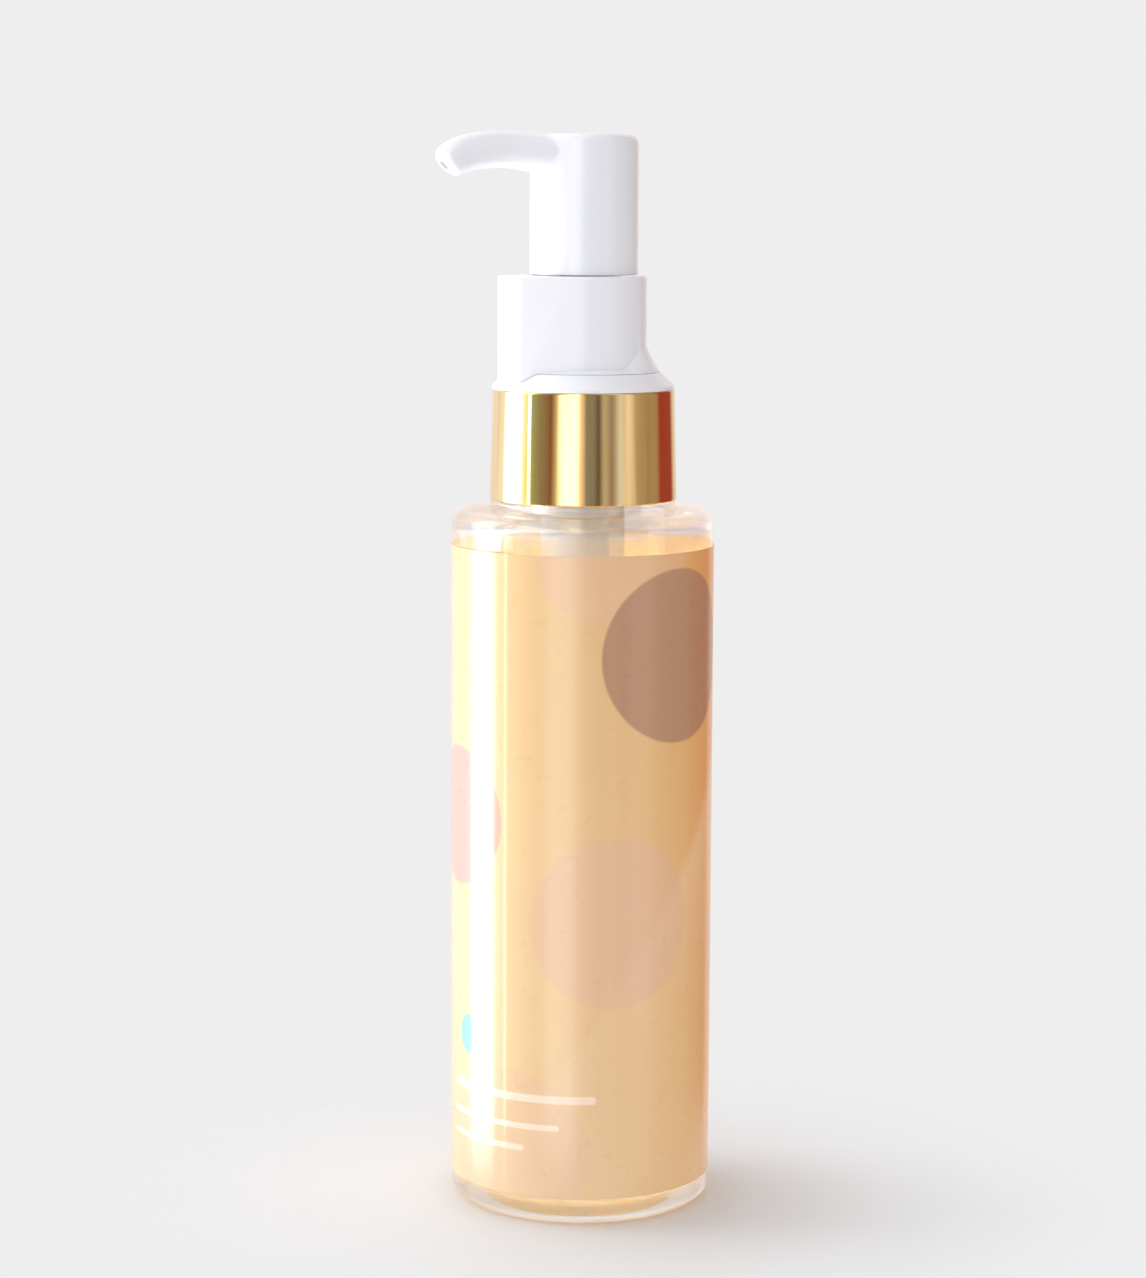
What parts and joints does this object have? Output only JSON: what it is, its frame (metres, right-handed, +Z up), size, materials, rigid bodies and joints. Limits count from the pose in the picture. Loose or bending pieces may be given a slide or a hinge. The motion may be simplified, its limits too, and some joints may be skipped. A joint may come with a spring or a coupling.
{
  "type": "pump oil bottle",
  "caption": "Clear cylindrical oil bottle with a printed wrap label, polished gold collar, white lotion pump with a curved spout, and a pull-off lock clip.",
  "frame": {"origin": "centre of the bottle's base, on the surface it stands on", "axes": "+Z up along the bottle's axis; the spout points along -X"},
  "size_m": [0.0451, 0.0402, 0.164],
  "materials": {
    "clear_bottle": "clear polished PET",
    "oil": "clear pale amber liquid",
    "label_film": "printed translucent film",
    "gold_collar": "polished gold anodised",
    "white_plastic": "glossy moulded polypropylene",
    "natural_plastic": "unpigmented moulded plastic",
    "gasket": "soft polyethylene",
    "dip_tube": "translucent extruded tube",
    "spring_steel": "drawn stainless wire",
    "steel_ball": "ground stainless ball"
  },
  "bodies": {
    "bottle_body": {"bottle": "clear_bottle", "oil_fill": "oil", "label_film": "label_film"},
    "pump_core": {"neck_gasket": "gasket", "pump_housing": "natural_plastic", "dip_tube": "dip_tube", "inlet_ball_cage": "natural_plastic", "return_spring": "spring_steel", "stem_wiper": "gasket", "chaplet": "white_plastic"},
    "inlet_valve": {"inlet_ball": "steel_ball"},
    "plunger": {"piston": "natural_plastic"},
    "head_unit": {"piston_carrier": "natural_plastic", "stem": "white_plastic", "pump_head": "white_plastic"},
    "outlet_valve": {"outlet_ball": "steel_ball"},
    "closure_unit": {"closure": "white_plastic", "gold_collar": "gold_collar"},
    "clip_unit": {"lock_clip": "white_plastic"}
  },
  "joints": [
    {"name": "pump_lift", "type": "slide", "parent": "bottle_body", "child": "pump_core", "axis": [0, 0, 1], "range_m": [0, 0.00476]},
    {"name": "closure_turn", "type": "hinge", "parent": "pump_core", "child": "closure_unit", "pos_m": [0, 0, 0.12], "axis": [0, 0, 1], "range_deg": [0, 540]},
    {"name": "press", "type": "slide", "parent": "pump_core", "child": "plunger", "axis": [0, 0, -1], "range_m": [0, 0.012], "stiffness_N_per_m": 1000, "springref_m": -0.008, "deforming": ["return_spring"]},
    {"name": "head_turn", "type": "hinge", "parent": "plunger", "child": "head_unit", "pos_m": [0, 0, 0.15], "axis": [0, 0, 1], "continuous": true},
    {"name": "clip_pull", "type": "slide", "parent": "closure_unit", "child": "clip_unit", "axis": [-1, 0, 0], "range_m": [0, 0.024]},
    {"name": "inlet_lift", "type": "slide", "parent": "pump_core", "child": "inlet_valve", "axis": [0, 0, 1], "range_m": [0, 0.0015]},
    {"name": "outlet_lift", "type": "slide", "parent": "head_unit", "child": "outlet_valve", "axis": [0, 0, 1], "range_m": [0, 0.0012]}
  ],
  "couplings": [
    {"joint": "closure_turn", "follows": "pump_lift", "rad_per_m": 1979}
  ]
}
